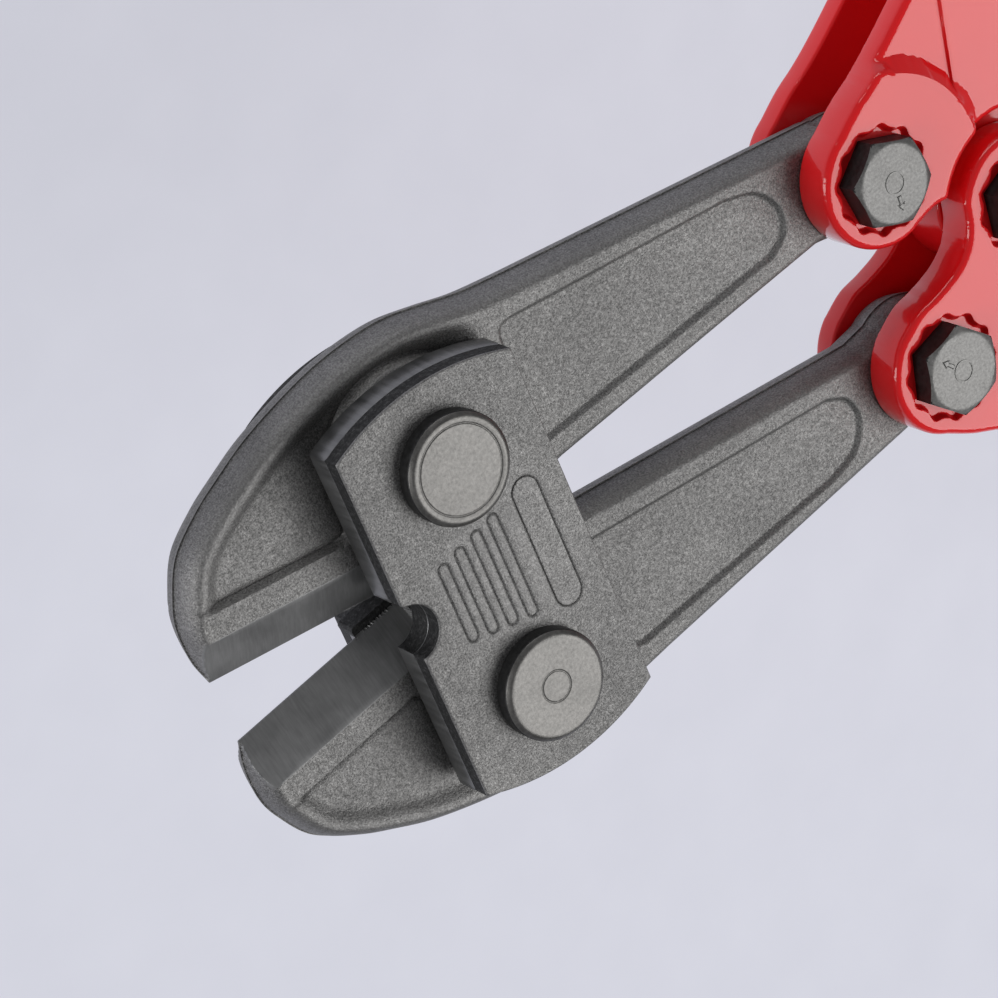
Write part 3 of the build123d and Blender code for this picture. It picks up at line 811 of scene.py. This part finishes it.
def make_plate(name, faced):
    """Side plate: a burnished lower band under a grainy upper one, with engraved blank outlines and
    painted shade on the notch walls.
    """
    split = PLATE_OUTER - 4.7
    holes = [circle((0, y), PIN_R + 0.02) for y in (PIVOT_OFFSET, -PIVOT_OFFSET)]
    low_line = plate_outline()
    high_line = plate_outline(0.12)

    def low_top(points):
        return split - rounded(distance(points, low_line), 0.2)

    def low_bottom(points):
        return PLATE_INNER + rounded(distance(points, low_line), 0.5)

    def high_top(points):
        height = PLATE_OUTER - rounded(distance(points, high_line), 0.45)
        for number, groove in enumerate(GROOVES):
            deep = within(points, groove)
            pad = 0.1 if number == len(GROOVES) - 1 else -0.1
            height = height - 0.34 * np.exp(-(deep / 0.2)**2) + pad * step_up(0, 0.3, deep)
        return np.minimum(height, PLATE_OUTER)

    features = [(groove, (-0.45, -0.2, 0, 0.2, 0.45), True) for groove in GROOVES]
    low = shell([low_line] + holes, (0.1, 0.3, 0.6), [], 4.0, low_top, low_bottom)
    high = shell([high_line] + holes, (0.06, 0.15, 0.3, 0.5, 0.8), features, 2.0, high_top,
                 lambda p: np.full(len(p), split - 0.3))
    torn = middles(*high)[:, 2] < PLATE_OUTER - 0.5
    x, y, z = middles(*low).T
    # Painted shade: the notch walls of the lower band get the dark torn material so the notch reads
    # black.
    notch_shade = (np.hypot(x + PLATE_HALF, y) < PLATE_NOTCH_R + 0.2) & (z < split - 1) & (z > PLATE_INNER + 1)
    parts = by_material(*low, np.where(notch_shade, 2, 1)) + by_material(*high, np.where(torn, 2, 0))
    if faced < 0:
        parts = [(verts * (1, 1, -1), [poly[::-1] for poly in polys], number)
                 for verts, polys, number in parts]
    merge(build(name + "_forging", parts, turn_matrix((pivot_x, 0), 0, MID), UPPER, "head",
                [name], [FORGED, BURNISHED, TORN_AND_SHADE]))


make_plate("front_side_plate", 1)
make_plate("rear_side_plate", -1)


# ---- pivot pins
def make_pin(name, side, ring):
    """Headed pin, faced on its end, with one turned ring."""
    top = 2 * MID
    head = MID + PLATE_OUTER
    profile = fillet(
        [(0, 0.3), (PIN_R, 0.3), (PIN_R, head), (12.65, head), (12.65, top - 0.9), (11.75, top - 0.15),
         (11.2, top), (ring + 0.3, top - 0.1), (ring, top - 0.25), (ring - 0.3, top - 0.1),
         (0, top - 0.1)],
        [0.6, 0, 0.3, 0.35, 0.3, 0.3, 0.1, 0.1, 0.1], 4)
    verts, polys = lathe(profile, 128)
    faced = middles(verts, polys)[:, 2] > top - 0.75
    parts = by_material(verts, polys, 1 * faced)
    place = turn_matrix((pivot_x, PIVOT_OFFSET), 0)
    merge(build(name + "_turned", parts, place, side, "head", [name], [DARK, PIN_FACE]))


make_pin("upper_pivot_pin", UPPER, 10.1)
make_pin("lower_pivot_pin", LOWER, 3.6)


# ---- bolts, nuts and washers
def hexagon(bottom, top, across, chamfer_r, low_chamfer=0.0, turn=0.0, segments=120):
    """Hexagonal prism whose top corners are turned down to a cone at 30 degrees."""
    turns = np.radians(np.arange(segments) * 360 / segments)
    edge = across / 2 / np.cos((turns + pi / 6) % (pi / 3) - pi / 6)
    turns = turns + radians(turn + 30)
    fractions = (0.15, 0.3, 0.45, 0.6, 0.72, 0.8, 0.86, 0.9, 0.94, 0.97, 1.0)
    fall = tan(radians(30))
    rings = [(f * edge, top - np.maximum(0, f * edge - chamfer_r) * fall) for f in fractions]
    rings += [(f * edge, bottom + np.maximum(0, f * edge - chamfer_r) * fall * low_chamfer)
              for f in reversed(fractions)]
    verts = [(0, 0, top)]
    for r, z in rings:
        verts += list(np.c_[r * np.cos(turns), r * np.sin(turns), z])
    verts.append((0, 0, bottom))
    polys = [poly[::-1] for poly in spun_faces(len(rings), segments)]
    return np.array([tuple(v) for v in verts]), polys


def ring_mark(radius, width, level, height):
    """Low raised ring on a bolt's head."""
    outer = circle((0, 0), radius + width / 2, 0.3)
    inner = circle((0, 0), radius - width / 2, 0.3)
    return shell([outer, inner], (width / 3,), [], 0.4, lambda p: np.full(len(p), level + height),
                 lambda p: np.full(len(p), level - 0.3))


def arrow_mark(turn, level, height):
    """Small raised arrow beside the ring, which shows the bolt's adjustment."""
    corners = [(3.2, 0.55), (5.2, 0.45), (5.1, 1.15), (6.9, 0), (5.1, -1.15), (5.2, -0.45), (3.2, -0.55)]
    c, s = cos(radians(turn)), sin(radians(turn))
    corners = [(c * x - s * y, s * x + c * y) for x, y in corners]
    line = straight(corners + corners[:1], 0.3)[:-1]
    return shell([line], (0.18,), [], 0.4,
                 lambda p: level + height - rounded(distance(p, line), 0.15),
                 lambda p: np.full(len(p), level - 0.3))


def hexagon_parts(turn, bottom, top, mark_turn=None):
    verts, polys = hexagon(bottom, top, HEX_ACROSS, 9.0, 0.0, turn)
    x, y, z = middles(verts, polys).T
    flank = (np.hypot(x, y) > 9.3) & (z < top - 0.8) | (z < bottom + 0.05)
    parts = by_material(verts, polys, 1 * flank)
    if mark_turn is not None:
        parts.append((*ring_mark(2.5, 0.34, top, 0.16), 0))
        parts.append((*arrow_mark(mark_turn, top, 0.24), 0))
    return parts


def shift_parts(parts, x, y):
    return [(np.array(verts) + (x, y, 0), polys, number) for verts, polys, number in parts]


def rod(radius, low, high):
    return lathe([(0, low), (radius, low), (radius, high), (0, high)])


def make_tang_bolt(side, name, body, turn, mark_turn):
    """Eccentric bolt: head, journals and threaded end."""
    head = hexagon_parts(turn, CHEEK_OUTER - SEAT_DEPTH, HEAD_TOP, mark_turn)
    journal = rod(JOURNAL_R, TANG_HALF, CHEEK_OUTER - SEAT_DEPTH)
    thread = []
    end = -FAR_OUTER - WASHER - NUT_HEIGHT - 1.2
    for k in range(7):
        z = end + 1.3 + 1.0 * k
        thread += [(THREAD_R, z), (THREAD_R - 0.5, z + 0.5)]
    shank = lathe([(0, end), (5.2, end), (THREAD_R, end + 0.8)] + thread
                  + [(THREAD_R, -CHEEK_INNER), (0, -CHEEK_INNER)])
    cam = rod(CAM_R, -CHEEK_INNER, TANG_HALF)
    parts = shift_parts(head + [(*journal, 1), (*shank, 0)], ECCENTRICITY, 0) + [(*cam, 1)]
    place = turn_matrix((bolt_x, bolt_y), handle_turn, MID)
    return build(name + "_turned", parts, place, side, body, [name], [BOLT, DARK], 25)


def make_nut(name, place, side, body, bottom, top, shift):
    verts, polys = hexagon(bottom, top, NUT_ACROSS, 8.2, 1.0)
    build(name + "_forged", shift_parts([(verts, polys, 0)], shift, 0), place, side, body,
          [name], [BOLT], 25)


def make_washer(name, place, side, body, top, shift):
    profile = fillet([(0, top - WASHER), (10.6, top - WASHER), (10.6, top), (0, top)], [0.4, 0.4])
    build(name + "_turned", shift_parts([(*lathe(profile), 0)], shift, 0), place, side, body,
          [name], [BOLT], 30)


under = -FAR_OUTER - WASHER
for side, word, turn, mark_turn in ((UPPER, "upper", 2.0, -131.0), (LOWER, "lower", 8.5, -168.5)):
    place = turn_matrix((bolt_x, bolt_y), handle_turn, MID)
    body = word + "_handle"
    make_tang_bolt(side, word + "_eccentric_bolt", body, turn, mark_turn)
    make_nut(word + "_eccentric_nut", place, side, body, under - NUT_HEIGHT, under, ECCENTRICITY)
    make_washer(word + "_eccentric_washer", place, side, body, -FAR_OUTER, ECCENTRICITY)

centre_place = turn_matrix((0, 0), handle_turn, MID)
centre_parts = hexagon_parts(0, CHEEK_OUTER - SEAT_DEPTH, HEAD_TOP)
centre_parts.append((*lathe([(0, -MID), (5.3, -MID), (THREAD_R, -MID + 0.7),
                             (THREAD_R, CHEEK_OUTER - SEAT_DEPTH), (0, CHEEK_OUTER - SEAT_DEPTH)]), 0))
build("centre_bolt_turned", centre_parts, centre_place, LOWER, "lower_handle",
      ["centre_bolt"], [BOLT, DARK], 25)
make_nut("centre_nut", centre_place, LOWER, "lower_handle", under - NUT_HEIGHT, under, 0)
make_washer("centre_washer", centre_place, LOWER, "lower_handle", -FAR_OUTER, 0)


# ---- forks
def fork_stop():
    """Stretch of a fork's outline where it curves down to the face that meets the other fork."""
    return spline([(neck_x, neck_y - SOCKET_R), (64, 8.0), (57, 2.2), (50, 0.4)])


def fork_outline(has_eyes):
    """Outline of a fork's cheek, in the shut frame round the centre joint."""
    outer = spline([(seat_x + 3.5, link_y + BOSS_R - 0.35), (seat_x + 11, link_y + 15.0),
                    (seat_x + 18, link_y + 13.6), (seat_x + 27, link_y + 12.5),
                    (neck_x, neck_y + SOCKET_R)])
    rear = straight([(neck_x, neck_y + SOCKET_R), (neck_x, neck_y - SOCKET_R)])
    if has_eyes:
        inner = straight([(50, 0.4), (17.2, 0.4)])
        eye = arc((0, 0), EYE_R, -1, -190)
        low = arc((seat_x, link_y), BOSS_R, 196, 78)
        arm = spline([tuple(eye[-1]), (-14.6, 7.7), (-14.0, 12.8), (-15.6, 18.2), (-19.9, 24.3),
                      (-24.0, 29.0), tuple(low[0])])
        return joined(outer, rear, fork_stop(), inner, eye, arm, low)
    inner = straight([(50, 0.4), (RECESS_R, 0.4)])
    bite = arc((0, 0), RECESS_R, 1, 112)
    neck = spline([tuple(bite[-1]), (-11.0, 22.6), (-17.5, 25.5)])
    low = arc((seat_x, link_y), BOSS_R, 247, 78)
    return joined(outer, rear, fork_stop(), inner, bite, neck, low)


def bulge(y):
    """Curved line across a cheek where its full thickness ends."""
    return 13.6 - 0.022 * (y - 37.0)**2


def boss_level(points, has_eyes):
    """1 where a cheek has its full thickness, 0 on the thinner body."""
    x, y = points.T
    full = 1 - step_up(0.0, 3.4, x - bulge(y))
    if has_eyes:
        eye = 1 - step_up(EYE_R + 3.0, EYE_R + 6.5, np.hypot(x, y))
        full = np.maximum(full, eye)
    return full


def cheek_parts(has_eyes, seat_turn):
    """Near and far cheek of a fork: the far one has plain round bores and the same outside."""
    outline = fork_outline(has_eyes)
    seats = [star((seat_x, link_y), SEAT_R, seat_turn)]
    if has_eyes:
        seats.append(star((0, 0), SEAT_R, 0))

    def top(points):
        full = boss_level(points, has_eyes)
        height = BODY_OUTER + (CHEEK_OUTER - BODY_OUTER) * full
        x, y = points.T
        side = (y - 26.5) - 0.86 * (x - 10.6)
        ridge = np.clip(-side / 1.3, 0, None)
        body = (1 - full) * (0.9 - 0.055 * np.minimum(ridge, 30)) * step_up(-0.35, 0.35, -side)
        height = height + np.where(has_eyes, 0, body)
        return height - rounded(distance(points, outline), 1.9)

    def near_top(points):
        height = top(points)
        for line in seats:
            sunk = step_up(-0.75, 0.35, within(points, line))
            height = height + (CHEEK_OUTER - SEAT_DEPTH - height) * sunk
        return height

    def far_top(points):
        return FAR_OUTER - rounded(distance(points, outline), 1.6)

    def bottom(points):
        return CHEEK_INNER + rounded(distance(points, outline), 0.8)

    rings = (0.1, 0.3, 0.6, 1.0, 1.45, 1.95, 2.35)
    bulge_y = np.arange(22, 56, 1.2)
    ridge = straight([(10.6, 26.5), (34.0, 46.6)], 1.0)
    features = [(np.c_[bulge(bulge_y), bulge_y], (0.0, 0.8, 1.6, 2.4, 3.3), False)]
    if not has_eyes:
        features.append((ridge, (-0.5, -0.15, 0.15, 0.5), False))
    working_end = ((-32, -20), (34, 60), 0.8)
    both_sides = (-0.85, -0.6, -0.4, -0.2, 0, 0.2, 0.4, 0.6, 0.85)
    features += [(line, both_sides, True) for line in seats]
    eye = [circle((0, 0), THREAD_R + 0.07)] if has_eyes else []
    near_holes = [circle((seat_x, link_y), JOURNAL_R + 0.02)] + eye
    near = shell([outline] + near_holes, rings, features, 1.6, near_top, bottom, [working_end])
    far_holes = [circle((seat_x, link_y), THREAD_R + 0.2)] + eye
    verts, polys = shell([outline] + far_holes, rings, [], 1.6, far_top, bottom)
    return [(*near, 0), (verts * (1, 1, -1), [poly[::-1] for poly in polys], 0)]


def core_part(has_eyes):
    """Solid web between a fork's cheeks, with the upper fork's tongue or clear of it."""
    if has_eyes:
        level = 7.4
        front = arc((0, 0), RECESS_R, 1, 62)
        back = spline([(10.1, 19.1), (18.0, 27.0), (34.0, 26.0), (62.0, 26.5), (neck_x, neck_y + 10)])
        face = straight([(50, 0.4), (RECESS_R, 0.4)])
        holes = []
    else:
        level = 7.0
        front = arc((0, 0), CORE_EYE_R, 1.3, -240)
        back = spline([(-8.5, 14.7), (-4.0, 22.0), (4.0, 27.6), (18.0, 27.6), (34.0, 26.0),
                       (62.0, 26.5), (neck_x, neck_y + 10)])
        face = straight([(50, 0.4), (CORE_EYE_R, 0.4)])
        holes = [circle((0, 0), 12.4)]
    rear = straight([(neck_x, neck_y + 10), (neck_x, neck_y - SOCKET_R)])
    line = joined(front, back, rear, fork_stop(), face)

    def top(points):
        deep = np.hypot(*points.T)
        lift = 0.6 * step_up(RECESS_R - 1.5, RECESS_R + 1.0, deep)
        edge = rounded(distance(points, line), 0.8) * (deep < RECESS_R)
        return level + lift - edge

    verts, polys = shell([line] + holes, (0.1, 0.3, 0.6, 1.0), [], 2.5, top, lambda p: -top(p))
    return (verts, polys, 0)


def socket_part():
    """Neck that swells from the flat body to the round socket and ends in a rounded lip."""
    lean = radians(TUBE_SPLAY)
    start = -30.0
    finish = FORK_LENGTH - TUBE_START[0]
    rings = []
    for s in list(np.linspace(start, 8, 16)) + [finish - 1.6, finish - 0.8, finish - 0.25, finish]:
        t = float(step_up(-30, 6, np.array(s)))
        half_z = BODY_OUTER - 0.6 + (SOCKET_R - BODY_OUTER + 0.6) * t
        half_y = SOCKET_R
        power = 2.0 + 3.2 * (1 - t)
        shrink = rounded(np.array(finish - s), 1.6) if s > finish - 1.7 else 0.0
        rings.append((s, half_z - shrink, half_y - shrink, power))
    rings.append((finish, TUBE_R + 0.05, TUBE_R + 0.05, 2.0))
    rings.append((finish - 44, TUBE_R + 0.05, TUBE_R + 0.05, 2.0))
    segments = 72
    verts = []
    for s, half_z, half_y, power in rings:
        for k in range(segments):
            a = 2 * pi * k / segments
            c, n = cos(a), sin(a)
            size = (abs(c)**power + abs(n)**power)**(-1 / power)
            across, z = half_y * c * size, half_z * n * size
            verts.append((TUBE_START[0] + s * cos(lean) - across * sin(lean),
                          TUBE_START[1] + s * sin(lean) + across * cos(lean), z))
    return (np.array(verts), loft_faces(len(rings), segments), 0)


def make_fork(name, side, body, has_eyes, seat_turn):
    parts = cheek_parts(has_eyes, seat_turn) + [core_part(has_eyes), socket_part()]
    place = turn_matrix((0, 0), handle_turn, MID)
    build(name + "_forging", parts, place, side, body, [name], [RED], 35)


make_fork("upper_handle_fork", UPPER, "upper_handle", False, 2.0)
make_fork("lower_handle_fork", LOWER, "lower_handle", True, 8.5)

# ---- handles
tube_place = turn_matrix((0, 0), handle_turn, MID) @ Matrix.Translation(
    (*TUBE_START, 0)) @ Matrix.Rotation(radians(TUBE_SPLAY), 4, "Z")


def swept(stations, segments=72):
    """Closed shell along x from (x, half height, half width) stations."""
    verts = []
    for s, half_z, half_y in stations:
        for k in range(segments):
            a = 2 * pi * k / segments
            verts.append((s, half_y * cos(a), half_z * sin(a)))
    return np.array(verts), loft_faces(len(stations), segments)


grip_begin = tube_length - GRIP_LENGTH
sleeve_end = tube_length - CAP_LENGTH


def grip_stations():
    """Guard, then a gently waisted grip with four finger ridges, then its rolled end."""
    guard = ((0, 15.0, 15.0), (0, 22.6, 23.4), (0.9, 23.8, 24.6), (2.6, 24.15, 24.95),
             (4.6, 23.6, 24.4), (6.2, 22.0, 22.9))
    out = [(grip_begin + s, half_z, half_y) for s, half_z, half_y in guard]
    for s in np.linspace(grip_begin + 8.5, sleeve_end - 5, 64):
        t = (s - grip_begin) / (sleeve_end - grip_begin)
        waist = 1.6 * sin(pi * t)**2 - 0.5 * sin(2 * pi * t * 4.0)
        neck = 2.2 * float(step_up(0, 12, np.array(s - grip_begin - 6)) - 1)
        out.append((s, 19.4 - 0.55 * waist - 0.2 - neck * 0.4, 20.4 - 0.9 * waist - 0.2 - neck * 0.4))
    out += [(sleeve_end - 2.0, 19.2, 20.1), (sleeve_end - 0.5, 18.8, 19.7), (sleeve_end, 18.0, 18.9),
            (sleeve_end, 15.0, 15.0)]
    return out


def make_handle(side, word):
    body = word + "_handle"
    paint(word + "_handle_tube", RED)
    paint(word + "_grip_core", CORE)
    paint(word + "_stop_buffer", RUBBER)
    build(word + "_grip_moulding", [(*swept(grip_stations()), 0)], tube_place, side, body,
          [word + "_grip_sleeve"], [SLEEVE], 50)
    cap = ((0.05, 12.0, 12.0), (0.05, 18.6, 19.2), (0.8, 20.0, 20.3), (3.0, 20.7, 20.7),
           (10.0, 20.5, 20.5), (13.5, 19.4, 19.4), (15.2, 17.4, 17.4), (15.9, 14.5, 14.5),
           (16.0, 10.0, 10.0))
    cap = [(sleeve_end + s, half_z, half_y) for s, half_z, half_y in cap]
    build(word + "_cap_moulding", [(*swept(cap), 0)], tube_place, side, body,
          [word + "_end_cap"], [CAP], 50)
    rivets = []
    socket_end = FORK_LENGTH - TUBE_START[0]
    for share in (0.72, 0.28):
        s = socket_end - share * 46.0
        h = SOCKET_R + 1.55
        dome = [(0, -h), (1.6, -h + 0.08), (3.6, -h + 0.55), (4.9, -h + 1.5), (5.0, -h + 2.2),
                (2.9, -h + 2.3), (2.9, h - 2.3), (5.0, h - 2.2), (4.9, h - 1.5), (3.6, h - 0.55),
                (1.6, h - 0.08), (0, h)]
        verts, polys = lathe(dome, 48)
        rivets.append((verts + (s, 0, 0), polys, 0))
    build(word + "_rivets_set", rivets, tube_place, side, body, [word + "_tube_rivets"],
          [BOLT], 40)


make_handle(UPPER, "upper")
make_handle(LOWER, "lower")
paint("pivot_pin_collars", DARK)
paint("centre_bush", BRONZE)


# ---- floor, light, camera
def pale_floor():
    """Matt pale studio floor with a faint mottle and a mild glow of its own."""
    material, tree, shader, coords = new_material("pale_floor")
    grain = noise(tree, coords, 40, 3.0, 0.5)
    colour = ramp(tree, grain, [(0.3, (0.217, 0.220, 0.246)), (0.7, (0.223, 0.226, 0.252))])
    tree.links.new(colour, shader.inputs["Base Color"])
    tree.links.new(colour, shader.inputs["Emission Color"])
    shader.inputs["Emission Strength"].default_value = 2.15
    shader.inputs["Roughness"].default_value = 0.9
    return material


FLOOR_LEVEL = -0.16
bpy.ops.mesh.primitive_plane_add(size=12, location=(0, 0, FLOOR_LEVEL))
floor = bpy.context.object
floor.name = "floor"
floor.data.materials.append(pale_floor())


def soft_box(name, place, target, size, power):
    """Rectangular light that points at a target."""
    light = bpy.data.lights.new(name, "AREA")
    light.shape = "RECTANGLE"
    light.size, light.size_y = size
    light.energy = power
    piece = bpy.data.objects.new(name, light)
    piece.location = place
    aim = Vector(target) - Vector(place)
    piece.rotation_euler = aim.to_track_quat("-Z", "Y").to_euler()
    bpy.context.scene.collection.objects.link(piece)


soft_box("key", (0.49, -0.63, 1.15), (-0.08, 0, 0.03), (1.1, 1.1), 14.5)
soft_box("left", (-1.2, 0.25, 0.25), (-0.05, 0, 0.03), (0.4, 0.8), 5.5)
soft_box("back", (0.2, 1.3, 0.35), (-0.05, 0, 0.03), (0.9, 0.3), 3.0)

CAMERA_PLACE = (-0.45025, 0.39123, 0.73110)
CAMERA_TURN = (-14.80, -32.04, -25.02)
LENS = 142.0

world = bpy.data.worlds.new("studio")
bpy.context.scene.world = world
world.use_nodes = True
sky = world.node_tree.nodes["Background"]
sky.inputs["Color"].default_value = (0.94, 0.96, 1.0, 1)
sky.inputs["Strength"].default_value = 0.20
bpy.context.scene.view_settings.view_transform = "Standard"

camera_data = bpy.data.cameras.new("camera")
camera_data.sensor_width = 36.0
camera_data.lens = LENS
camera_data.clip_start = 0.05
camera_data.clip_end = 50
camera = bpy.data.objects.new("camera", camera_data)
camera.location = CAMERA_PLACE
camera.rotation_euler = Euler([radians(turn) for turn in CAMERA_TURN], "XYZ")
bpy.context.scene.collection.objects.link(camera)
bpy.context.scene.camera = camera
